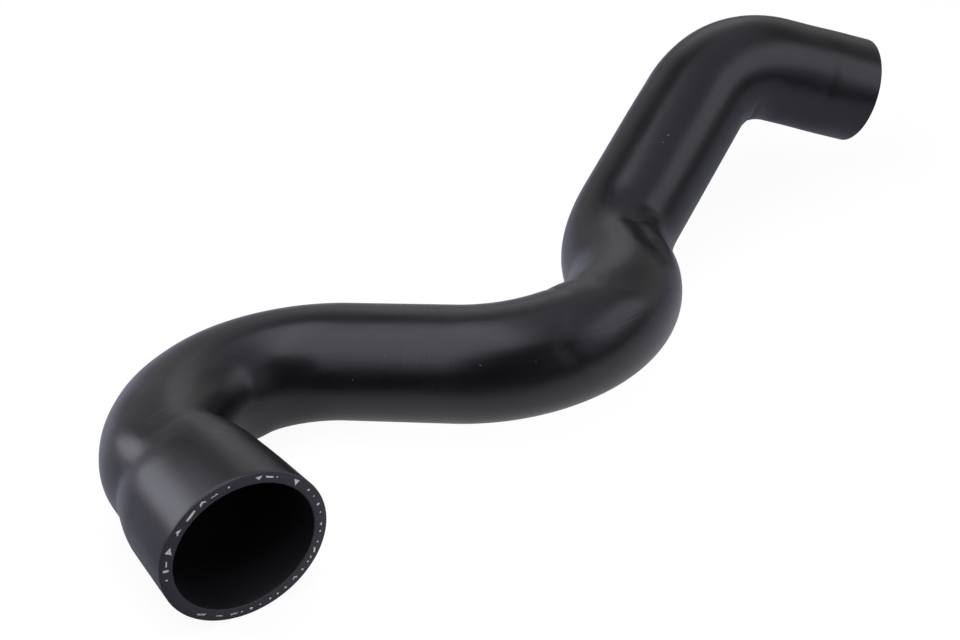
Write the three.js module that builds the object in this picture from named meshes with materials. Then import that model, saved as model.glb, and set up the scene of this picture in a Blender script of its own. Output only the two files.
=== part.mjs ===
// Moulded rubber crankcase breather hose: a wide cuff, a shouldered neck, five bends and a plain far cuff.
// It is one moulding. The bore runs right through it, and both ends are cut flat.
// Millimetres and degrees, +Z up. The hose lies as it comes to rest, on the wide cuff and the undersides of two bends.
import * as THREE from 'three';
import { mergeVertices } from 'three/addons/utils/BufferGeometryUtils.js';

// Plain tube
const tubeBore = 40;
const tubeWall = 5;

// Wide cuff at the near end, which tapers to a shoulder, a shallow neck and a belly before the plain tube
const cuffMouthBore = 58.4;
const cuffEndBore = 54;
const cuffWall = 5.3;
const cuffLength = 38;
const neckBore = 44.8;
const neckWall = 5.2;
const shoulderLength = 13;
const bellyBore = 46;
const bellyRise = 11;
const bellyFall = 16;
const mouthCutTurn = -4.6;

// Plain cuff at the far end, a little thicker than the tube
const farCuffWall = 5.3;
const farCuffLength = 22;
const farCuffStep = 3;

// Where the straight runs' centrelines meet, from the near mouth to the far one
const corners = [
  new THREE.Vector3(-111.7, -159.3, 34.4),
  new THREE.Vector3(-150.2, -104, 35.1),
  new THREE.Vector3(-141.6, -22.7, 19.4),
  new THREE.Vector3(55.6, -66.1, 43.2),
  new THREE.Vector3(37.4, 50.1, 22.1),
  new THREE.Vector3(95.6, 142.5, 70.6),
  new THREE.Vector3(163.9, 154.2, 44),
];

// Centreline radius of the bend at each inner corner, and the most of the run after it that a bend may use up
const bendRadii = [45, 57.1, 61.7, 45.3, 46.6];
const bendShare = 0.8;

// Facets
const sides = 24;
const ringSpacing = 10;
const cuffRingSpacing = 5;

const rubber = new THREE.MeshStandardMaterial({ color: 0x1b1c20, roughness: 0.42, metalness: 0 });

const latheAxis = new THREE.Vector3(0, 1, 0);
const vertical = new THREE.Vector3(0, 0, 1);

// The centreline as stretches, straight and round in turn. Each holds where it starts and how it is turned there.
function layRoute() {
  const stretches = [];
  const heading = corners[1].clone().sub(corners[0]).normalize();
  let turn = new THREE.Quaternion().setFromUnitVectors(latheAxis, heading);
  let start = corners[0].clone();
  let from = 0;
  corners.slice(1).forEach((corner, i) => {
    const direction = corner.clone().sub(corners[i]).normalize();
    const next = corners[i + 2];
    const onward = next ? next.clone().sub(corner).normalize() : direction;
    const angle = direction.angleTo(onward);
    const room = next ? Math.min(corner.distanceTo(start), bendShare * next.distanceTo(corner)) : 0;
    const setback = next ? Math.min(bendRadii[i] * Math.tan(angle / 2), room) : 0;
    const runEnd = corner.clone().addScaledVector(direction, -setback);
    const run = runEnd.distanceTo(start);
    stretches.push({ from, length: run, start, turn, direction });
    from += run;
    if (!next) return;
    const radius = setback / Math.tan(angle / 2);
    const axis = direction.clone().cross(onward).normalize();
    const pivot = runEnd.clone().addScaledVector(axis.clone().cross(direction), radius);
    stretches.push({ from, length: radius * angle, start: runEnd, turn, axis, pivot, radius });
    from += radius * angle;
    turn = new THREE.Quaternion().setFromAxisAngle(axis, angle).multiply(turn);
    start = corner.clone().addScaledVector(onward, setback);
  });
  return stretches;
}

const route = layRoute();
const lastStretch = route[route.length - 1];
const hoseLength = lastStretch.from + lastStretch.length;

// Carries a point of the straight hose, standing on the lathe's axis, to its place on the bent one.
function bendPoint(point) {
  const stretch = route.findLast((candidate) => point.y >= candidate.from) ?? route[0];
  const along = point.y - stretch.from;
  const offset = new THREE.Vector3(point.x, 0, point.z).applyQuaternion(stretch.turn);
  if (!stretch.axis) return offset.add(stretch.start).addScaledVector(stretch.direction, along);
  offset.add(stretch.start).sub(stretch.pivot);
  return offset.applyAxisAngle(stretch.axis, along / stretch.radius).add(stretch.pivot);
}

// Bore and wall at named places along the hose, and whether the stretch after each runs straight or eases.
const stations = [
  { at: 0, bore: cuffMouthBore, wall: cuffWall, straight: true },
  { at: cuffLength, bore: cuffEndBore, wall: cuffWall },
  { at: cuffLength + shoulderLength, bore: neckBore, wall: neckWall },
  { at: cuffLength + shoulderLength + bellyRise, bore: bellyBore, wall: neckWall },
  { at: cuffLength + shoulderLength + bellyRise + bellyFall, bore: tubeBore, wall: tubeWall },
  { at: hoseLength - farCuffLength - farCuffStep, bore: tubeBore, wall: tubeWall },
  { at: hoseLength - farCuffLength, bore: tubeBore, wall: farCuffWall },
  { at: hoseLength, bore: tubeBore, wall: farCuffWall },
];

// Bore radius and outer radius at a distance along the hose
function section(along) {
  const last = stations.length - 2;
  const i = Math.min(Math.max(stations.findLastIndex((station) => along >= station.at), 0), last);
  const [here, next] = [stations[i], stations[i + 1]];
  const share = THREE.MathUtils.clamp((along - here.at) / (next.at - here.at), 0, 1);
  const eased = here.straight ? share : THREE.MathUtils.smoothstep(share, 0, 1);
  const bore = THREE.MathUtils.lerp(here.bore, next.bore, eased) / 2;
  return { bore, outer: bore + THREE.MathUtils.lerp(here.wall, next.wall, eased) };
}

// Distances along the hose that get a ring of points: each station, with even steps between stations
function ringPlaces() {
  const places = [];
  const plainTubeStart = cuffLength + shoulderLength + bellyRise + bellyFall;
  stations.slice(0, -1).forEach((station, i) => {
    const gap = stations[i + 1].at - station.at;
    const spacing = station.at < plainTubeStart ? cuffRingSpacing : ringSpacing;
    const steps = Math.max(1, Math.round(gap / spacing));
    for (let step = 0; step < steps; step += 1) places.push(station.at + (gap * step) / steps);
  });
  places.push(hoseLength);
  return places;
}

// The hose as a straight turning: out along the outside, back along the bore, closed on its first point
function turnStraightHose() {
  const places = ringPlaces();
  const outside = places.map((along) => new THREE.Vector2(section(along).outer, along));
  const inside = places.map((along) => new THREE.Vector2(section(along).bore, along)).reverse();
  const profile = [...outside, ...inside, outside[0].clone()];
  const lathed = new THREE.LatheGeometry(profile, sides);
  lathed.deleteAttribute('normal');
  lathed.deleteAttribute('uv');
  return mergeVertices(lathed);
}

// The near mouth is cut a little out of square. The slant dies away over the length of the cuff.
function slantMouth(geometry) {
  const cutFacing = route[0].direction.clone();
  cutFacing.applyAxisAngle(vertical, THREE.MathUtils.degToRad(mouthCutTurn));
  cutFacing.applyQuaternion(route[0].turn.clone().invert());
  const spots = geometry.attributes.position;
  for (let i = 0; i < spots.count; i += 1) {
    const [x, y, z] = [spots.getX(i), spots.getY(i), spots.getZ(i)];
    const slant = -(cutFacing.x * x + cutFacing.z * z) / cutFacing.y;
    spots.setY(i, y + slant * Math.max(0, 1 - y / cuffLength));
  }
}

function bendHose(geometry) {
  const spots = geometry.attributes.position;
  const point = new THREE.Vector3();
  for (let i = 0; i < spots.count; i += 1) {
    point.fromBufferAttribute(spots, i);
    const bent = bendPoint(point);
    spots.setXYZ(i, bent.x, bent.y, bent.z);
  }
}

function makeHose() {
  const geometry = turnStraightHose();
  slantMouth(geometry);
  bendHose(geometry);
  geometry.computeVertexNormals();
  const hose = new THREE.Mesh(geometry, rubber);
  hose.name = 'breather_hose';
  return hose;
}

const hose = makeHose();

// Stood on the floor, with the middle of its box over the origin
const box = new THREE.Box3().setFromObject(hose);
const middle = box.getCenter(new THREE.Vector3());
hose.position.set(-middle.x, -middle.y, -box.min.z);

const breatherHose = new THREE.Group();
breatherHose.add(hose);

export default breatherHose;
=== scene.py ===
# Looks for the moulded crankcase breather hose: the turned and bent rubber, its folds, and the yarn ends in
# its cut mouths.
# Metres, +Z up, in the frame that the solid hose stands in.
import math

import bmesh
import bpy
import numpy as np
from mathutils import Matrix, Vector


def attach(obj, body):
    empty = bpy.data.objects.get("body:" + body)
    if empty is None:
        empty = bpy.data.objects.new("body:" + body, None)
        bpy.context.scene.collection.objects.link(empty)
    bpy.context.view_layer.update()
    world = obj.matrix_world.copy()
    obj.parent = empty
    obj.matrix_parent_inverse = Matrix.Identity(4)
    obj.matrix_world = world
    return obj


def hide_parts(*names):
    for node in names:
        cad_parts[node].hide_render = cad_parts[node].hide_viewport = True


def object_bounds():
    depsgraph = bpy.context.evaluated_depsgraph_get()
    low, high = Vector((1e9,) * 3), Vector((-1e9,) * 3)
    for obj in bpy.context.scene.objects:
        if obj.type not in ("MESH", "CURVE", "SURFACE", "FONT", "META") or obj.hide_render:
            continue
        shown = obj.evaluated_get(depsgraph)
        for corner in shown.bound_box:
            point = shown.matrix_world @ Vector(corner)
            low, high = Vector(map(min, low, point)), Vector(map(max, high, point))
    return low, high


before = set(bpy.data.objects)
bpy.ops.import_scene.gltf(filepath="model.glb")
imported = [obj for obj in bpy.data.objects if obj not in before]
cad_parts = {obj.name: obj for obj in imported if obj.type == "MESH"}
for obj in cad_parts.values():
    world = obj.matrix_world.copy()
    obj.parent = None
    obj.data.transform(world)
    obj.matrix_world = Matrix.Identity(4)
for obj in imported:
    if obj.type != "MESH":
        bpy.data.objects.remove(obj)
cad_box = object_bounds()

mm = 0.001
hairline = 0.001 * mm
merge_gap = 0.01 * mm

# Plain tube
tube_bore = 40 * mm
tube_wall = 5 * mm

# Wide cuff at the near end, its shoulder, the shallow neck and the belly after it
cuff_mouth_bore = 58.4 * mm
cuff_end_bore = 54 * mm
cuff_wall = 5.3 * mm
cuff_length = 38 * mm
neck_bore = 44.8 * mm
neck_wall = 5.2 * mm
shoulder_length = 13 * mm
belly_bore = 46 * mm
belly_rise = 11 * mm
belly_fall = 16 * mm
mouth_cut_turn = math.radians(-4.6)

# Far cuff
far_cuff_wall = 5.3 * mm
far_cuff_length = 22 * mm
far_cuff_step = 3 * mm

# Where the centrelines of the straight runs meet, in millimetres, and the bends between them
corners_mm = [
    (-111.7, -159.3, 34.4),
    (-150.2, -104, 35.1),
    (-141.6, -22.7, 19.4),
    (55.6, -66.1, 43.2),
    (37.4, 50.1, 22.1),
    (95.6, 142.5, 70.6),
    (163.9, 154.2, 44),
]
bend_radii = [45 * mm, 57.1 * mm, 61.7 * mm, 45.3 * mm, 46.6 * mm]
bend_share = 0.8

# Outer radius along the two sides of the first bend, as (place along the hose, radius) in millimetres.
# The wide cuff runs out smoothly on the bend's inner side. On the outer side it steps in to a neck, and then
# comes a belly. The corners of these profiles are rounded off over the softness.
inner_side_clock = 60
inner_side = [(-10, 35.25), (0, 34.5), (20, 33), (40, 30.9), (50, 28.8), (58, 26.2), (66, 25.1), (80, 25)]
outer_side = [
    (-10, 35.14), (0, 34.5), (22, 33.2), (36, 32.3), (44, 30), (52, 28.2), (60, 28.3), (70, 26.4), (80, 25),
]
profile_softness = 4
profile_samples = 9
neck_end = 86

# Outer radius where the far cuff starts, in the same way. The cut end itself keeps its turned shape.
far_side = [(505, 25), (529, 25), (542, 25.32), (570, 25.3)]
far_side_start = 510
far_end_kept = 1

# Creases and swellings pressed into the outside by the mould and the bends. Each runs through points that
# hold the place along the hose, the clock angle, the height (below 0 is pressed in) and the half width.
# Places, heights and widths are in millimetres. Clock angles are in degrees, clockwise from the top as seen
# looking along the hose from the wide mouth.
creases = {
    "neck_ring": [
        (52, 235, 0, 4.5), (50, 262, -0.7, 4.5), (49, 290, -0.8, 5), (47, 312, -0.6, 5.5),
        (43, 330, -0.35, 6), (39, 345, 0, 6),
    ],
    "neck_valley": [
        (38, 344, 0, 4), (48, 347, -0.5, 4.6), (58, 345, -0.6, 5), (66, 340, -0.4, 5), (78, 332, 0, 6),
    ],
    "belly": [(56, 322, 0.5, 8), (58, 318, 0.5, 8)],
    "elbow_flat": [(88, 326, -0.7, 16), (104, 332, -0.7, 16)],
    "elbow_heel": [(122, 132, 1.1, 9), (130, 133, 1.1, 9)],
    "elbow_fold": [
        (121, 16, 0, 9), (121, 36, -0.3, 9), (121, 52, -0.45, 8.5), (122, 68, -0.4, 8.5), (123, 88, 0, 9),
    ],
    "mandrel_ring": [
        (282, 330, 0, 2.6), (279, 349, -0.3, 2.6), (270, 20, -0.3, 2.6), (266, 46, -0.35, 2.6),
        (268, 62, -0.35, 2.6), (273, 82, -0.35, 2.6), (277, 92, -0.3, 2.6), (284, 120, 0, 2.6),
    ],
    "heel_hollow": [
        (290, 345, 0, 6), (294, 356, -0.5, 6), (301, 13, -0.6, 6), (311, 30, -0.6, 6), (325, 52, -0.4, 6),
    ],
    "heel_swelling": [(296, 30, 0.4, 7), (301, 48, 0.4, 7)],
    "left_fold": [(288, 340, 0, 3), (297, 333, 0.3, 3), (306, 330, 0.25, 3), (318, 325, 0, 3)],
    "limb_step": [(359, 352, 0, 4), (357, 380, -0.35, 4), (361, 394, -0.35, 4)],
    "limb_crease": [
        (378, 2, 0, 5.4), (368, 8, -0.45, 5.4), (358, 15, -0.8, 5), (347, 19, -1, 4.8), (339, 22, -1.1, 4.6),
        (335, 30, -0.9, 4.4), (331, 40, -0.5, 4.4), (327, 54, 0, 4.6),
    ],
    "limb_flank": [
        (384, 40, 0, 5.4), (366, 38, 0.8, 5.4), (352, 38, 1.4, 5.2), (343, 40, 1.6, 5), (337, 47, 1.3, 4.8),
        (331, 60, 0, 4.6),
    ],
    "limb_side": [(386, 96, 0, 9), (366, 92, 0.8, 9), (350, 92, 0.6, 8), (338, 96, 0, 8)],
    "far_elbow_top": [(462, 318, -0.5, 12), (470, 320, -0.5, 12)],
    "far_fold": [
        (482, 98, 0, 3.6), (484, 112, -0.7, 3.6), (486, 126, -0.8, 4), (487, 142, -0.7, 4), (488, 162, 0, 4),
    ],
    "far_neck": [(534, 12, 0, 3.2), (534, 40, -0.35, 3.2), (534, 90, -0.4, 3.2), (534, 130, 0, 3.4)],
    "far_neck_hollow": [(526, 70, -0.3, 6), (527, 105, -0.3, 6)],
}

# Fineness of the mesh: facets round the hose, and rows along it from each place to the next
facets_round = 188
outside_rows = [
    (30 * mm, 16), (80 * mm, 62), (150 * mm, 50), (262 * mm, 44), (345 * mm, 68), (382 * mm, 40),
    (478 * mm, 42), (534 * mm, 32),
]
bore_rows = [(60 * mm, 16), (80 * mm, 8), (500 * mm, 58)]
end_rows = 20
cut_edge_round = 0.4 * mm
cut_edge_steps = 3
route_steps = 64
sharpest_smooth_edge = math.radians(40)

# The camera of the photograph
camera_place = Vector((-21.89, -743.57, 571.52)) * mm
camera_tilt = math.radians(36.57)
camera_roll = math.radians(-0.9)
camera_lens = 78.75
camera_sensor = 36
nearest_seen = 0.05
furthest_seen = 20


def smooth_step(share):
    share = min(max(share, 0), 1)
    return share * share * (3 - 2 * share)


def blend_values(start, end, share):
    return start + (end - start) * share


# The camera

def make_camera():
    camera = bpy.data.objects.new("camera", bpy.data.cameras.new("camera"))
    bpy.context.scene.collection.objects.link(camera)
    camera.data.lens = camera_lens
    camera.data.sensor_width = camera_sensor
    camera.data.clip_start = nearest_seen
    camera.data.clip_end = furthest_seen
    tilt = Matrix.Rotation(math.pi / 2 - camera_tilt, 3, "X")
    roll = Matrix.Rotation(camera_roll, 3, "Z")
    camera.location = camera_place
    camera.rotation_euler = (tilt @ roll).to_euler()
    bpy.context.scene.camera = camera


# The hose's route

def lay_route():
    """The centreline's straight and round stretches: where each starts, its heading, length and radius."""
    corners = [Vector(corner) * mm for corner in corners_mm]
    stretches = []
    start = corners[0]
    for i, corner in enumerate(corners[1:]):
        heading = (corner - corners[i]).normalized()
        if i + 2 == len(corners):
            stretches.append({"start": start, "heading": heading, "length": (corner - start).length})
            break
        onward = (corners[i + 2] - corner).normalized()
        angle = heading.angle(onward)
        room = min((corner - start).length, bend_share * (corners[i + 2] - corner).length)
        setback = min(bend_radii[i] * math.tan(angle / 2), room)
        radius = setback / math.tan(angle / 2)
        bend_start = corner - heading * setback
        stretches.append({"start": start, "heading": heading, "length": (bend_start - start).length})
        bend = {"start": bend_start, "heading": heading, "length": radius * angle, "radius": radius}
        stretches.append(bend)
        start = corner + onward * setback
    return stretches


route = lay_route()
hose_length = sum(stretch["length"] for stretch in route)


def draw_route():
    """The centreline as a Bezier curve, with a point where each stretch starts and one at the end."""
    bpy.ops.curve.primitive_bezier_curve_add()
    curve = bpy.context.object
    curve.name = "hose_route"
    curve.data.twist_mode = "Z_UP"
    curve.data.resolution_u = route_steps
    last = route[-1]
    places = [stretch["start"] for stretch in route] + [last["start"] + last["heading"] * last["length"]]
    headings = [stretch["heading"] for stretch in route] + [last["heading"]]
    reaches = []
    for stretch in route:
        reach = stretch["length"] / 3
        if "radius" in stretch:
            reach = 4 / 3 * math.tan(stretch["length"] / stretch["radius"] / 4) * stretch["radius"]
        reaches.append(reach)
    spline = curve.data.splines[0]
    spline.bezier_points.add(len(places) - 2)
    for i, point in enumerate(spline.bezier_points):
        point.handle_left_type = point.handle_right_type = "FREE"
        point.co = places[i]
        point.handle_left = places[i] - headings[i] * reaches[max(i - 1, 0)]
        point.handle_right = places[i] + headings[i] * reaches[min(i, len(reaches) - 1)]
    return curve


# Bore and wall at named places along the hose, and whether the stretch after each runs straight or eases
stations = [
    (0, cuff_mouth_bore, cuff_wall, True),
    (cuff_length, cuff_end_bore, cuff_wall, False),
    (cuff_length + shoulder_length, neck_bore, neck_wall, False),
    (cuff_length + shoulder_length + belly_rise, belly_bore, neck_wall, False),
    (cuff_length + shoulder_length + belly_rise + belly_fall, tube_bore, tube_wall, False),
    (hose_length - far_cuff_length - far_cuff_step, tube_bore, tube_wall, False),
    (hose_length - far_cuff_length, tube_bore, far_cuff_wall, False),
    (hose_length, tube_bore, far_cuff_wall, False),
]


def section(along):
    """Bore radius and outer radius at a distance along the hose."""
    here, after = stations[0], stations[1]
    for i in range(len(stations) - 1):
        if along >= stations[i][0]:
            here, after = stations[i], stations[i + 1]
    share = min(max((along - here[0]) / (after[0] - here[0]), 0), 1)
    if not here[3]:
        share = smooth_step(share)
    bore = blend_values(here[1], after[1], share) / 2
    return bore, bore + blend_values(here[2], after[2], share)


# Mesh tools

def pick(piece, kind, wanted):
    """In edit mode, selects only the vertices (VERT), edges (EDGE) or faces (FACE) that are wanted."""
    bpy.ops.mesh.select_mode(type=kind)
    bpy.ops.mesh.select_all(action="DESELECT")
    shape = bmesh.from_edit_mesh(piece.data)
    parts = {"VERT": shape.verts, "EDGE": shape.edges, "FACE": shape.faces}[kind]
    for part in parts:
        if wanted(part):
            part.select_set(True)
    shape.select_flush_mode()
    bmesh.update_edit_mesh(piece.data)


def middle_of(edge):
    return (edge.verts[0].co + edge.verts[1].co) / 2


def spots_of(piece):
    """The places of a piece's vertices, as an array."""
    spots = np.zeros(len(piece.data.vertices) * 3)
    piece.data.vertices.foreach_get("co", spots)
    return spots.reshape(-1, 3)


def move_spots(piece, spots):
    piece.data.vertices.foreach_set("co", spots.ravel())
    piece.data.update()


# The straight hose

def draw_half_section():
    """Half of the hose's lengthwise section, drawn flat beside the turning axis, which is Y."""
    bore_places = [0] + [place for place, rows in bore_rows] + [hose_length]
    outside_places = [0] + [place for place, rows in outside_rows] + [hose_length]
    outline = [(section(y)[1], y) for y in outside_places]
    outline += [(section(y)[0], y) for y in reversed(bore_places)]
    bpy.ops.mesh.primitive_plane_add(size=tube_wall, location=(outline[0][0], outline[0][1], 0))
    piece = bpy.context.object
    bpy.ops.object.transform_apply()
    bpy.ops.object.mode_set(mode="EDIT")
    bpy.ops.mesh.merge(type="CENTER")
    for before, spot in zip(outline, outline[1:]):
        step = (spot[0] - before[0], spot[1] - before[1], 0)
        bpy.ops.mesh.extrude_region_move(TRANSFORM_OT_translate={"value": step})
    pick(piece, "VERT", lambda v: abs(v.co.y) < hairline)
    bpy.ops.mesh.edge_face_add()
    for rows_list, outside in ((outside_rows, True), (bore_rows, False)):
        start = 0
        for end, rows in rows_list + [(hose_length, end_rows)]:
            halfway = (start + end) / 2

            def wanted(edge):
                middle = middle_of(edge)
                bore, outer = section(middle.y)
                on_side = (middle.x > (bore + outer) / 2) == outside
                return abs(middle.y - halfway) < merge_gap and on_side

            pick(piece, "EDGE", wanted)
            bpy.ops.mesh.subdivide(number_cuts=rows - 1)
            start = end
    shape = bmesh.from_edit_mesh(piece.data)
    for vertex in shape.verts:
        bore, outer = section(vertex.co.y)
        vertex.co.x = outer if vertex.co.x > (bore + outer) / 2 else bore
    bmesh.update_edit_mesh(piece.data)
    pick(piece, "VERT", lambda v: abs(v.co.y) < hairline or abs(v.co.y - hose_length) < hairline)
    bpy.ops.mesh.bevel(offset=cut_edge_round, segments=cut_edge_steps, affect="VERTICES")
    bpy.ops.object.mode_set(mode="OBJECT")
    return piece


def turn_straight_hose():
    piece = draw_half_section()
    piece.name = piece.data.name = "moulded_hose"
    bpy.ops.object.mode_set(mode="EDIT")
    bpy.ops.mesh.select_all(action="SELECT")
    bpy.ops.mesh.spin(steps=facets_round, angle=math.tau, center=(0, 0, 0), axis=(0, 1, 0))
    bpy.ops.mesh.select_all(action="SELECT")
    bpy.ops.mesh.remove_doubles(threshold=merge_gap)
    bpy.ops.mesh.normals_make_consistent(inside=False)
    bpy.ops.object.mode_set(mode="OBJECT")
    return piece


def on_the_hose(spots):
    """Each point's place along the straight hose, clock angle and radius, in millimetres and degrees."""
    clock = np.degrees(np.arctan2(-spots[:, 2], spots[:, 0]))
    return spots[:, 1] / mm, clock, np.hypot(spots[:, 0], spots[:, 2]) / mm


def raise_by(spots, radius, lift):
    """Moves points of the straight hose outwards by as many millimetres as lift says."""
    spots[:, [0, 2]] *= ((radius + lift) / radius)[:, None]


def soft_profile(points, along):
    """Reads (place, radius) points at many places, with the corners between them rounded off."""
    places, radii = zip(*points)
    shifts = np.linspace(-profile_softness, profile_softness, profile_samples)
    return sum(np.interp(along + shift, places, radii) for shift in shifts) / len(shifts)


def shape_neck(piece):
    """Gives the cuff's run-out its two sides. The bore follows, so the wall keeps its thickness."""
    spots = spots_of(piece)
    along, clock, radius = on_the_hose(spots)
    turned = np.array([section(place * mm)[1] for place in along]) / mm
    inner_share = (1 + np.cos(np.radians(clock - inner_side_clock))) / 2
    inner, outer = soft_profile(inner_side, along), soft_profile(outer_side, along)
    wanted = blend_values(outer, inner, inner_share)
    raise_by(spots, radius, np.where(along < neck_end, wanted - turned, 0))
    move_spots(piece, spots)


def shape_far_cuff(piece):
    """Lets the outside swell gently up to the far cuff."""
    spots = spots_of(piece)
    along, _, radius = on_the_hose(spots)
    sections = np.array([section(place * mm) for place in along]) / mm
    last_place = hose_length / mm - far_end_kept
    reshaped = (radius > sections.mean(1)) & (along > far_side_start) & (along < last_place)
    raise_by(spots, radius, np.where(reshaped, soft_profile(far_side, along) - sections[:, 1], 0))
    move_spots(piece, spots)


def crease_lift(path, along, clock, radius):
    """How far one crease or swelling lifts each point of the outside."""
    nearest = np.full(len(along), np.inf)
    height, width = np.zeros(len(along)), np.ones(len(along))
    for start, end in zip(path, path[1:]):
        round_the_hose = np.radians((clock - start[1] + 180) % 360 - 180) * radius
        step_along, step_round = end[0] - start[0], np.radians(end[1] - start[1]) * radius
        reached = (along - start[0]) * step_along + round_the_hose * step_round
        share = np.clip(reached / (step_along ** 2 + step_round ** 2), 0, 1)
        distance = np.hypot(along - start[0] - share * step_along, round_the_hose - share * step_round)
        nearer = distance < nearest
        nearest = np.where(nearer, distance, nearest)
        height = np.where(nearer, blend_values(start[2], end[2], share), height)
        width = np.where(nearer, blend_values(start[3], end[3], share), width)
    return height * np.exp(-(nearest / width) ** 2)


def press_creases(piece):
    spots = spots_of(piece)
    along, clock, radius = on_the_hose(spots)
    sections = np.array([section(place * mm) for place in along]) / mm
    outside = radius > sections.mean(1)
    lift = sum(crease_lift(path, along, clock, radius) for path in creases.values())
    raise_by(spots, radius, np.where(outside, lift, 0))
    move_spots(piece, spots)


def mark_straight_places(piece):
    """Keeps each point's place on the straight hose, so that patterns follow the rubber round the bends."""
    marks = piece.data.attributes.new("straight_place", "FLOAT_VECTOR", "POINT")
    marks.data.foreach_set("vector", spots_of(piece).ravel())


def bend_to_route(piece, curve):
    bpy.ops.object.select_all(action="DESELECT")
    piece.select_set(True)
    bpy.context.view_layer.objects.active = piece
    bend = piece.modifiers.new("bend", "CURVE")
    bend.object = curve
    bend.deform_axis = "POS_Y"
    bpy.ops.object.modifier_apply(modifier=bend.name)


def slant_mouth(piece):
    """The wide mouth is cut a little out of square. The slant dies away over the length of the cuff."""
    heading = np.array(route[0]["heading"])
    cut_facing = np.array(Matrix.Rotation(mouth_cut_turn, 3, "Z") @ route[0]["heading"])
    along = np.zeros(len(piece.data.vertices) * 3)
    piece.data.attributes["straight_place"].data.foreach_get("vector", along)
    along = along.reshape(-1, 3)[:, 1]
    spots = spots_of(piece)
    offset = spots - np.array(route[0]["start"]) - along[:, None] * heading
    slant = -(offset @ cut_facing) / (heading @ cut_facing)
    fade = np.clip(1 - along / cuff_length, 0, 1)
    spots += (slant * fade)[:, None] * heading
    move_spots(piece, spots)


# How squarely a face at the hose's ends has to look along the hose to be part of the knife cut
cut_face_facing = 0.6


def paint_hose(piece):
    """Gives the outside, the bore and the two cut faces their finishes, while the hose is still straight."""
    for material in (outside_rubber(), bore_rubber(), cut_rubber()):
        piece.data.materials.append(material)
    for face in piece.data.polygons:
        bore, outer = section(face.center.y)
        in_bore = math.hypot(face.center.x, face.center.z) < (bore + outer) / 2
        at_end = not cut_edge_round < face.center.y < hose_length - cut_edge_round
        in_cut = at_end and abs(face.normal.y) > cut_face_facing
        face.material_index = 2 if in_cut else int(in_bore)


def smooth(piece):
    bpy.ops.object.select_all(action="DESELECT")
    piece.select_set(True)
    bpy.context.view_layer.objects.active = piece
    bpy.ops.object.shade_smooth_by_angle(angle=sharpest_smooth_edge)


# Finishes

class Value:
    """A number that varies over a surface. The usual operators on it add Math nodes."""

    def __init__(self, finish, socket):
        self.finish = finish
        self.socket = socket

    def math(self, operation, *others):
        inputs = {i: other for i, other in enumerate((self, *others))}
        return self.finish.add("ShaderNodeMath", {"operation": operation}, inputs)

    def swapped(self, operation, other):
        return self.finish.add("ShaderNodeMath", {"operation": operation}, {0: other, 1: self})

    def __add__(self, other):
        return self.math("ADD", other)

    def __radd__(self, other):
        return self.swapped("ADD", other)

    def __sub__(self, other):
        return self.math("SUBTRACT", other)

    def __rsub__(self, other):
        return self.swapped("SUBTRACT", other)

    def __mul__(self, other):
        return self.math("MULTIPLY", other)

    def __rmul__(self, other):
        return self.swapped("MULTIPLY", other)

    def __truediv__(self, other):
        return self.math("DIVIDE", other)

    def __rtruediv__(self, other):
        return self.swapped("DIVIDE", other)

    def __abs__(self):
        return self.math("ABSOLUTE")

    def clamped(self):
        return self.math("MAXIMUM", 0).math("MINIMUM", 1)

    def eased(self, start, end):
        """0 up to start, 1 from end on, and a smooth rise between them."""
        return self.finish.add(
            "ShaderNodeMapRange",
            {"interpolation_type": "SMOOTHSTEP"},
            {"Value": self, "From Min": start, "From Max": end},
        )


class Finish:
    """The node tree of one material or of the world."""

    def __init__(self, owner):
        owner.use_nodes = True
        self.owner = owner
        self.tree = owner.node_tree
        self.tree.nodes.clear()

    def add(self, kind, settings=None, inputs=None, output=0):
        """Adds a node with its settings made first, fills or links its inputs, and gives an output."""
        node = self.tree.nodes.new(kind)
        for name, value in (settings or {}).items():
            setattr(node, name, value)
        for name, value in (inputs or {}).items():
            socket = node.inputs[name]
            if isinstance(value, Value):
                self.tree.links.new(value.socket, socket)
            else:
                socket.default_value = value
        return Value(self, node.outputs[output])

    def finish(self, kind, shader):
        """Links the shader to an output node, and gives the material or world."""
        end = self.tree.nodes.new(kind)
        self.tree.links.new(shader.socket, end.inputs["Surface"])
        return self.owner

    def split(self, vector):
        """The X, Y and Z of a vector."""
        node = self.tree.nodes.new("ShaderNodeSeparateXYZ")
        self.tree.links.new(vector.socket, node.inputs[0])
        return [Value(self, output) for output in node.outputs]

    def joined(self, x, y, z):
        return self.add("ShaderNodeCombineXYZ", None, {0: x, 1: y, 2: z})

    def stretched(self, place, stretch):
        return self.add("ShaderNodeVectorMath", {"operation": "MULTIPLY"}, {0: place, 1: stretch})

    def distance(self, place, spot):
        return self.add("ShaderNodeVectorMath", {"operation": "DISTANCE"}, {0: place, 1: spot}, 1)

    def noise(self, place, scale, detail=2, roughness=0.5):
        """A cloudy pattern from 0 to 1, its features about 1 / scale metres apart."""
        inputs = {"Vector": place, "Scale": scale, "Detail": detail, "Roughness": roughness}
        return self.add("ShaderNodeTexNoise", {"noise_dimensions": "3D"}, inputs)

    def mixed(self, share, first, second):
        """A colour between two colours."""
        node = self.tree.nodes.new("ShaderNodeMix")
        node.data_type = "RGBA"
        for name, value in {"Factor": share, "A": first, "B": second}.items():
            if isinstance(value, Value):
                self.tree.links.new(value.socket, node.inputs[name])
            else:
                node.inputs[name].default_value = value
        return Value(self, node.outputs["Result"])


def linear(red, green, blue):
    """An opaque colour in linear values."""
    return (red, green, blue, 1)


speck_tone = linear(0.16, 0.16, 0.17)


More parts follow.
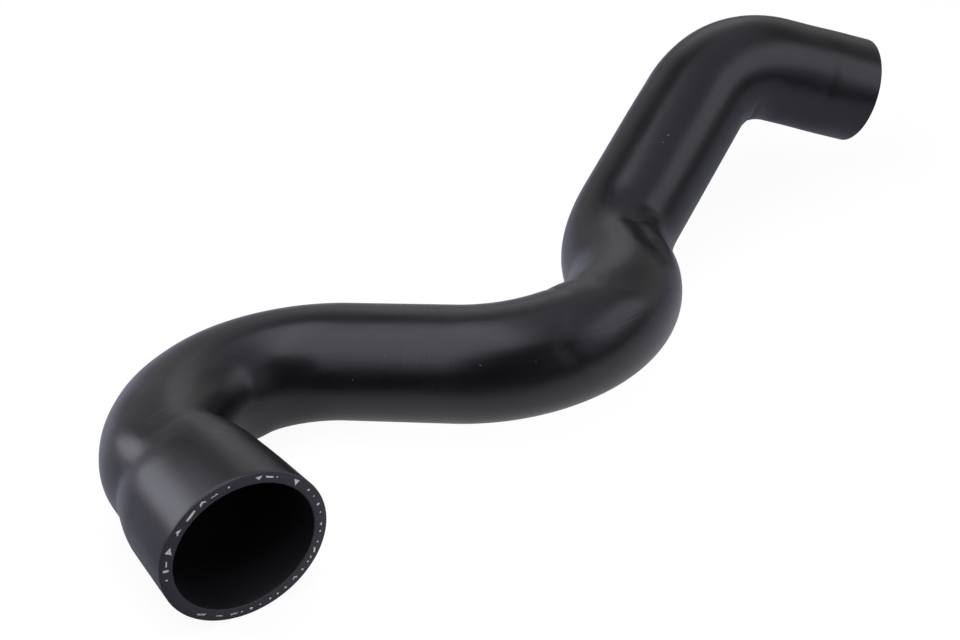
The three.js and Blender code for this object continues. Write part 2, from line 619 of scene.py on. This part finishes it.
def rubber_finish(name, tone, dust_tone, roughness, grain_height, wave_height, marks=None):
    """Moulded rubber: near black, with a fine grain, soft waves, lengthwise rub marks and stray dust."""
    finish = Finish(bpy.data.materials.new(name))
    place = finish.add("ShaderNodeAttribute", {"attribute_name": "straight_place"}, output=1)
    smudges = finish.noise(place, scale=38, detail=3)
    rubs = finish.noise(finish.stretched(place, (1, 0.05, 1)), scale=520)
    grain = finish.noise(place, scale=2300, roughness=0.6)
    waves = finish.noise(finish.stretched(place, (1, 0.45, 1)), scale=95, detail=1)
    dust = smudges.eased(0.5, 0.75) * 0.35 + rubs.eased(0.55, 0.8) * 0.2
    rough = roughness + (smudges - 0.5) * 0.12 + (rubs - 0.5) * 0.08 + (grain - 0.5) * 0.06
    height = grain * grain_height + waves * wave_height + rubs * (grain_height * 0.8)
    pale_specks = 0
    if marks:
        pale, dull, lift, pale_specks = marks(finish, place)
        dust = dust + pale
        rough = rough + dull
        height = height + lift
    colour = finish.mixed(dust.clamped(), tone, dust_tone)
    colour = finish.mixed(pale_specks, colour, speck_tone)
    bump = finish.add("ShaderNodeBump", None, {"Strength": 1, "Distance": 1, "Height": height})
    shader = finish.add("ShaderNodeBsdfPrincipled", None, {
        "Base Color": colour,
        "Roughness": rough.clamped(),
        "IOR": 1.5,
        "Normal": bump,
    })
    return finish.finish("ShaderNodeOutputMaterial", shader)


# Dust specks on the outside: place along in millimetres, clock angle and radius in millimetres
specks = [
    (75, 348, 0.3), (68.5, 329, 0.3), (44, 350, 0.35), (37, 9, 0.3), (105, 90, 0.35), (117, 83, 0.2),
    (149, 73, 0.22), (124, 24, 0.25), (191, 70, 0.3), (205, 46, 0.25), (240.5, 54, 0.3), (247.5, 31, 0.2),
    (257, 57, 0.2), (361, 36, 0.35), (427, 19, 0.45), (422.5, 18, 0.35), (416, 354, 0.25),
]

# Thin scratches: the place along in millimetres and the clock angle at both ends, and the half width
scratches = [
    (136, 20, 151, 23, 0.3),
    (150, 23, 165, 27, 0.35),
    (272, 45, 285, 48.5, 0.7),
    (285, 48.5, 299, 53, 0.7),
    (222, 12, 228, 16, 0.3),
]

# Drag marks run round the top of the first bend. Their middle is given by place and clock angle, and they
# fan out from each other by this much for each metre across.
drag_centre = (48, 20)
drag_reach = 27 * mm
drag_fan = 20

# The stretch that hoopwise marks cross, along the middle run
hoop_marks_start = 165 * mm
hoop_marks_full = 222 * mm
hoop_marks_end = 262 * mm


def outside_spot(along, clock):
    """A point on the outside of the straight hose, from its place in millimetres and its clock angle."""
    outer = section(along * mm)[1]
    angle = math.radians(clock)
    return Vector((outer * math.cos(angle), along * mm, -outer * math.sin(angle)))


def scratch(finish, place, start, end, half_width):
    """1 on a straight scratch between two spots, and 0 off it."""
    middle = (start + end) / 2
    outward = Vector((middle.x, 0, middle.z)).normalized()
    sideways = (end - start).cross(outward).normalized()
    from_start = finish.add("ShaderNodeVectorMath", {"operation": "SUBTRACT"}, {0: place, 1: start})
    dot = {"operation": "DOT_PRODUCT"}
    off_line = finish.add("ShaderNodeVectorMath", dot, {0: from_start, 1: sideways}, 1)
    half_length = (end - start).length / 2
    near = 1 - finish.distance(place, middle).eased(half_length * 0.8, half_length * 1.15)
    return (1 - abs(off_line).eased(half_width * 0.4, half_width)) * near


def outside_marks(finish, place):
    """The marks on the moulded skin: how pale and how dull they are, their height, and the pale specks."""
    x, y, z = finish.split(place)
    across_drags = (y - drag_centre[0] * mm) / (1 - z * drag_fan)
    fan = finish.noise(finish.joined(z * 0.07, across_drags, x * 0.2), scale=620)
    fan_place = 1 - finish.distance(place, outside_spot(*drag_centre)).eased(drag_reach * 0.3, drag_reach)
    broken = finish.noise(place, scale=160, detail=3).eased(0.42, 0.62)
    drags = fan.eased(0.48, 0.7) * fan_place * broken
    bands = finish.noise(finish.stretched(place, (0.05, 1, 0.05)), scale=900)
    fading_in = y.eased(hoop_marks_start, hoop_marks_full)
    fading_out = 1 - y.eased(hoop_marks_full, hoop_marks_end)
    hoops = (bands - 0.5) * (fading_in * fading_out)
    grooves = 0
    for start_along, start_clock, end_along, end_clock, half_width in scratches:
        start, end = outside_spot(start_along, start_clock), outside_spot(end_along, end_clock)
        grooves = scratch(finish, place, start, end, half_width * mm) + grooves
    dots = 0
    for along, clock, radius in specks:
        off = finish.distance(place, outside_spot(along, clock))
        dots = 1 - off.eased(radius * 0.5 * mm, radius * mm) + dots
    pale = drags * 0.9 + hoops * 0.2
    dull = drags * 0.1 + hoops * 0.15
    lift = drags * (0.03 * mm) + hoops * (0.07 * mm) - grooves * (0.025 * mm) + dots * (0.08 * mm)
    return pale, dull, lift, dots.clamped() * 0.8 + drags * 0.15


def outside_rubber():
    """The moulded skin: near black and softly shining."""
    return rubber_finish(
        "moulded_rubber",
        tone=linear(0.003, 0.0031, 0.0037),
        dust_tone=linear(0.0085, 0.0085, 0.0095),
        roughness=0.32,
        grain_height=0.012 * mm,
        wave_height=0.12 * mm,
        marks=outside_marks,
    )


def bore_rubber():
    """The bore: duller than the skin, from the mandrel that it was formed on."""
    return rubber_finish(
        "bore_rubber",
        tone=linear(0.008, 0.008, 0.009),
        dust_tone=linear(0.012, 0.012, 0.013),
        roughness=0.5,
        grain_height=0.02 * mm,
        wave_height=0.1 * mm,
    )


def cut_rubber():
    """The knife-cut faces: greyer and rougher than the moulded skin."""
    return rubber_finish(
        "cut_rubber",
        tone=linear(0.046, 0.046, 0.05),
        dust_tone=linear(0.07, 0.069, 0.074),
        roughness=0.55,
        grain_height=0.05 * mm,
        wave_height=0.1 * mm,
    )


def yarn_fibres():
    """Undyed polyester yarn, cut through: cream, with grey rubber smeared over some of it."""
    finish = Finish(bpy.data.materials.new("yarn_fibres"))
    place = finish.add("ShaderNodeTexCoord", None, None, output=3)
    smear = finish.noise(place, scale=900, detail=3).eased(0.42, 0.66)
    fibres = finish.noise(place, scale=4200)
    colour = finish.mixed(smear * 0.35, linear(0.9, 0.88, 0.82), linear(0.12, 0.117, 0.11))
    height = fibres * (0.05 * mm)
    bump = finish.add("ShaderNodeBump", None, {"Strength": 1, "Distance": 1, "Height": height})
    shader = finish.add("ShaderNodeBsdfPrincipled", None, {
        "Base Color": colour,
        "Roughness": (0.72 + (fibres - 0.5) * 0.2).clamped(),
        "Normal": bump,
    })
    return finish.finish("ShaderNodeOutputMaterial", shader)


# Yarn ends in the cut faces

yarn_circle = 32 * mm
yarn_depth = 0.5 * mm
yarn_stands_proud = 0.06 * mm
yarn_edge_round = 0.08 * mm
yarn_raggedness = 0.11

# Each yarn end of the wide mouth: clock angle, form, length, width and turn, in millimetres and degrees
wide_mouth_yarns = [
    (292, "wedge", 4, 3, -65),
    (308, "wedge", 3.6, 1.8, -84),
    (322, "dash", 4.9, 1, 6),
    (333, "hook", 2.7, 0.9, 10),
    (342, "smear", 2.9, 0.8, 0),
    (353, "dot", 1, 1, 0),
    (15, "wedge", 2.8, 2, 105),
    (23, "dash", 3.4, 0.7, -6),
    (29, "dot", 0.7, 0.7, 0),
    (46, "wedge", 3.2, 2.3, -136),
    (60, "dot", 1, 1, 0),
    (68, "dot", 0.6, 0.6, 0),
    (77, "dot", 1.2, 1.5, 0),
    (85, "dot", 0.7, 0.7, 0),
    (96, "wedge", 1.9, 1.1, 96),
    (102, "dot", 1, 0.9, 0),
    (111, "dot", 0.8, 0.8, 0),
    (118, "dash", 2.4, 0.8, 20),
    (124, "dash", 1.2, 0.5, 25),
    (128, "dot", 1, 0.9, 0),
    (135, "dot", 1, 1, 0),
    (143, "hook", 1.8, 0.7, 160),
    (152, "dot", 1.1, 1, 0),
    (159, "dot", 1, 0.9, 0),
    (165, "dot", 0.9, 0.9, 0),
    (173, "dot", 0.8, 0.7, 0),
    (180, "dot", 1.3, 1.1, 0),
    (187, "dot", 0.8, 0.7, 0),
    (193, "smear", 2.9, 0.9, 0),
    (204, "smear", 2.7, 0.8, 0),
    (219, "smear", 3.4, 1.1, 12),
    (268, "dot", 1, 1.1, 0),
    (276, "dash", 2.4, 1.1, 80),
    (282, "dash", 2.9, 0.6, 4),
]

# The yarn ends of the far mouth are small and spread evenly. Lengths and widths are in millimetres.
far_yarn_count = 26
far_yarn_circle = 22.6 * mm
far_yarn_length = 0.9
far_yarn_spread = 0.5
far_dash_extra = 0.8
far_yarn_width = 0.8

# Corner radius of an equal-sided triangle whose sides are about 1 long
wedge_radius = 0.577


def flat_shape(form):
    """One yarn end's form, about 1 across, lying in the XY plane."""
    if form == "wedge":
        quarter_turn = (0, 0, math.pi / 2)
        bpy.ops.mesh.primitive_circle_add(
            vertices=3, radius=wedge_radius, fill_type="NGON", rotation=quarter_turn
        )
    elif form == "dot":
        bpy.ops.mesh.primitive_circle_add(vertices=7, radius=0.5, fill_type="NGON")
    else:
        bpy.ops.mesh.primitive_plane_add(size=1)
    piece = bpy.context.object
    bpy.ops.object.transform_apply()
    if form == "hook":
        bpy.ops.object.mode_set(mode="EDIT")
        bpy.ops.mesh.select_all(action="SELECT")
        bpy.ops.mesh.subdivide(number_cuts=2)
        pick(piece, "VERT", lambda v: abs(v.co.x) < 0.3)
        bpy.ops.transform.translate(value=(0, 0.9, 0))
        bpy.ops.object.mode_set(mode="OBJECT")
    if form == "smear":
        bpy.ops.object.mode_set(mode="EDIT")
        bpy.ops.mesh.select_all(action="SELECT")
        bpy.ops.mesh.subdivide(number_cuts=3)
        pick(piece, "VERT", lambda v: v.co.y > 0.4 and abs(v.co.x) in (0, 0.5))
        bpy.ops.transform.translate(value=(0.06, -0.5, 0))
        pick(piece, "VERT", lambda v: v.co.y < -0.4 and abs(v.co.x) == 0.25)
        bpy.ops.transform.translate(value=(0, 0.4, 0))
        bpy.ops.object.mode_set(mode="OBJECT")
    return piece


def yarn_end(form, length, width, seed):
    """A ragged yarn end of that size in millimetres, sunk in the wall up to the cut face at Z = 0."""
    piece = flat_shape(form)
    across, up = (width, length) if form == "wedge" else (length, width)
    bpy.ops.object.mode_set(mode="EDIT")
    bpy.ops.mesh.select_all(action="SELECT")
    if form in ("wedge", "dash"):
        bpy.ops.mesh.subdivide(number_cuts=2)
    bpy.ops.transform.vertex_random(offset=yarn_raggedness, seed=seed)
    bpy.ops.transform.resize(value=(across * mm, up * mm, 0), center_override=(0, 0, 0))
    bpy.ops.mesh.extrude_region_move(TRANSFORM_OT_translate={"value": (0, 0, -yarn_depth)})
    bpy.ops.mesh.select_all(action="SELECT")
    bpy.ops.transform.translate(value=(0, 0, yarn_stands_proud))
    bpy.ops.mesh.normals_make_consistent(inside=False)
    bpy.ops.mesh.bevel(offset=yarn_edge_round, segments=2, affect="EDGES", clamp_overlap=True)
    bpy.ops.object.mode_set(mode="OBJECT")
    return piece


def set_in_face(piece, clock, circle, along, outward, turn):
    """Puts a yarn end at a clock angle in a cut face of the straight hose. Outward is -1 or 1 along Y."""
    angle = math.radians(clock)
    across = Vector((math.sin(angle), 0, math.cos(angle))) * outward
    up = Vector((math.cos(angle), 0, -math.sin(angle)))
    out = Vector((0, outward, 0))
    facing = Matrix((across, up, out)).transposed()
    spin = Matrix.Rotation(math.radians(turn), 3, "Z")
    place = Matrix.Translation(up * circle + Vector((0, along, 0)))
    piece.data.transform(place @ (facing @ spin).to_4x4())


def join_pieces(pieces, name):
    bpy.ops.object.select_all(action="DESELECT")
    for piece in pieces:
        piece.select_set(True)
    bpy.context.view_layer.objects.active = pieces[0]
    bpy.ops.object.join()
    joined = bpy.context.object
    joined.name = joined.data.name = name
    return joined


def wide_mouth_yarn_ends():
    ends = []
    for seed, (clock, form, length, width, turn) in enumerate(wide_mouth_yarns):
        end = yarn_end(form, length, width, seed)
        set_in_face(end, clock, yarn_circle, 0, -1, turn)
        ends.append(end)
    return join_pieces(ends, "yarn_ends_wide_mouth")


def far_mouth_yarn_ends():
    ends = []
    for i in range(far_yarn_count):
        form = ("dot", "dash", "dot", "wedge")[i % 4]
        length = far_yarn_length + far_yarn_spread * math.sin(i * 2.4) ** 2
        if form != "dot":
            length += far_dash_extra
        end = yarn_end(form, length, far_yarn_width, i)
        clock = 360 * i / far_yarn_count + 3 * math.sin(i * 5.1)
        turn = 25 * math.sin(i * 3.3)
        set_in_face(end, clock, far_yarn_circle, hose_length, 1, turn)
        ends.append(end)
    return join_pieces(ends, "yarn_ends_far_mouth")


# Floor, lamps and world

floor_size = 8
floor_drop = 0.2 * mm

# The camera sees a white floor. This share of it is plain white, and the rest takes the hose's shadow.
floor_tone = linear(0.95, 0.95, 0.95)
white_share = 0.85
white_glow = 1.06

# The floor that the hose mirrors: painted shade towards the camera, lit behind, and a painted glow below the
# middle run, where the floor emits light though it is no lamp
mirrored_painted_shade = linear(0.13, 0.13, 0.14)
mirrored_lit = linear(0.62, 0.62, 0.67)
front_shade_start = -0.09
front_shade_end = -0.21
painted_glow_share = 0.42
painted_glow_centre = (0.05, -0.09, 0)
painted_glow_full_reach = 0.1
painted_glow_reach = 0.23

# The room's own light: faint all round, and stronger low down at the back, by the direction's Y and Z
room_light = 0.04
back_light = 0.45
back_light_start = -0.4
back_light_full = 0.5
low_light_full = 0.3
low_light_end = 0.8

lamp_tint = (0.86, 0.86, 1)

# Each softbox: name, place, width, height and brightness. Brightness 1 mirrors as white.
softboxes = [
    ("overhead_softbox", (-0.2, -0.08, 0.47), 0.6, 0.52, 2),
    ("overhead_fill", (0.25, 0.12, 0.85), 1.2, 0.9, 0.62),
    ("left_softbox", (-0.93, 0.08, 0.36), 0.62, 0.48, 3.4),
    ("front_left_softbox", (-0.55, -0.68, 0.5), 0.45, 0.32, 1.1),
    ("back_softbox", (0.02, 0.9, 0.5), 0.5, 0.6, 0.45),
    ("right_softbox", (0.65, -0.02, 0.44), 0.56, 0.38, 1.45),
    ("front_right_softbox", (0.72, -0.4, 0.33), 0.5, 0.4, 0.5),
]

# A lamp that lights the cut face and the yarn ends but isn't mirrored in the moulded skin
fill_lamp = ("front_fill", (0.6, -0.9, 0.5), 0.6, 0.5, 4)


def make_floor():
    """A white floor. The hose mirrors it with painted shade towards the camera's side, standing in for the
    unlit studio there, and with a painted glow below the middle run.
    """
    bpy.ops.mesh.primitive_plane_add(size=floor_size, location=(0, 0, -floor_drop))
    floor = bpy.context.object
    floor.name = floor.data.name = "floor"
    bpy.ops.object.transform_apply()
    finish = Finish(bpy.data.materials.new("floor_white"))
    place = finish.add("ShaderNodeTexCoord", None, None, output=3)
    y = finish.split(place)[1]
    # Painted shade: for rays other than the camera's, the floor's tone darkens towards the camera.
    lit = y.eased(front_shade_end, front_shade_start)
    seen = finish.add("ShaderNodeLightPath", None, None, output=0)
    mirrored = finish.mixed(lit, mirrored_painted_shade, mirrored_lit)
    tone = finish.mixed(seen, mirrored, floor_tone)
    card = finish.add("ShaderNodeBsdfDiffuse", None, {"Color": tone})
    white = finish.add("ShaderNodeEmission", None, {"Color": linear(1, 1, 1), "Strength": white_glow})
    # Painted glow: round this centre the floor emits white, mostly to rays other than the camera's, so the
    # hose's undersides mirror it and take light from it though it is no lamp.
    glow = 1 - finish.distance(place, painted_glow_centre).eased(painted_glow_full_reach, painted_glow_reach)
    glowing = finish.add("ShaderNodeMixShader", None, {0: lit * glow * painted_glow_share, 1: card, 2: white})
    shader = finish.add("ShaderNodeMixShader", None, {0: seen * white_share, 1: glowing, 2: white})
    floor.data.materials.append(finish.finish("ShaderNodeOutputMaterial", shader))


def softbox(name, place, width, height, brightness):
    """A flat lamp that faces the hose."""
    lamp = bpy.data.objects.new(name, bpy.data.lights.new(name, "AREA"))
    bpy.context.scene.collection.objects.link(lamp)
    lamp.data.shape = "RECTANGLE"
    lamp.data.size = width
    lamp.data.size_y = height
    lamp.data.color = lamp_tint
    lamp.data.energy = brightness * math.pi * width * height
    lamp.location = place
    lamp.rotation_euler = (-Vector(place)).to_track_quat("-Z", "Y").to_euler()
    lamp.visible_camera = False
    return lamp


def light_the_studio():
    for box in softboxes:
        softbox(*box)
    softbox(*fill_lamp).visible_glossy = False
    world = bpy.data.worlds.new("studio")
    bpy.context.scene.world = world
    finish = Finish(world)
    direction = finish.add("ShaderNodeTexCoord", None, None, output=0)
    y, z = finish.split(direction)[1:]
    lit = y.eased(back_light_start, back_light_full) * (1 - z.eased(low_light_full, low_light_end))
    seen = finish.add("ShaderNodeLightPath", None, None, output=0)
    strength = seen + (1 - seen) * (room_light + lit * back_light)
    background = finish.add("ShaderNodeBackground", None, {"Color": linear(1, 1, 1), "Strength": strength})
    finish.finish("ShaderNodeOutputWorld", background)


make_camera()
bpy.ops.object.select_all(action="DESELECT")
hose_route = draw_route()
hose = turn_straight_hose()
paint_hose(hose)
shape_neck(hose)
shape_far_cuff(hose)
press_creases(hose)
yarn = yarn_fibres()
wide_yarns = wide_mouth_yarn_ends()
far_yarns = far_mouth_yarn_ends()
wide_yarns.data.materials.append(yarn)
far_yarns.data.materials.append(yarn)
for piece in (hose, wide_yarns, far_yarns):
    mark_straight_places(piece)
    bend_to_route(piece, hose_route)
slant_mouth(hose)
slant_mouth(wide_yarns)

spots = spots_of(hose)
low, high = spots.min(0), spots.max(0)
stand = np.array([
    (cad_box[0].x + cad_box[1].x - low[0] - high[0]) / 2,
    (cad_box[0].y + cad_box[1].y - low[1] - high[1]) / 2,
    cad_box[0].z - low[2],
])
for piece in (hose, wide_yarns, far_yarns):
    move_spots(piece, spots_of(piece) + stand)
    smooth(piece)
    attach(piece, "root")
bpy.data.objects.remove(hose_route)
make_floor()
light_the_studio()
bpy.context.scene.view_settings.view_transform = "Standard"
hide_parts("breather_hose")
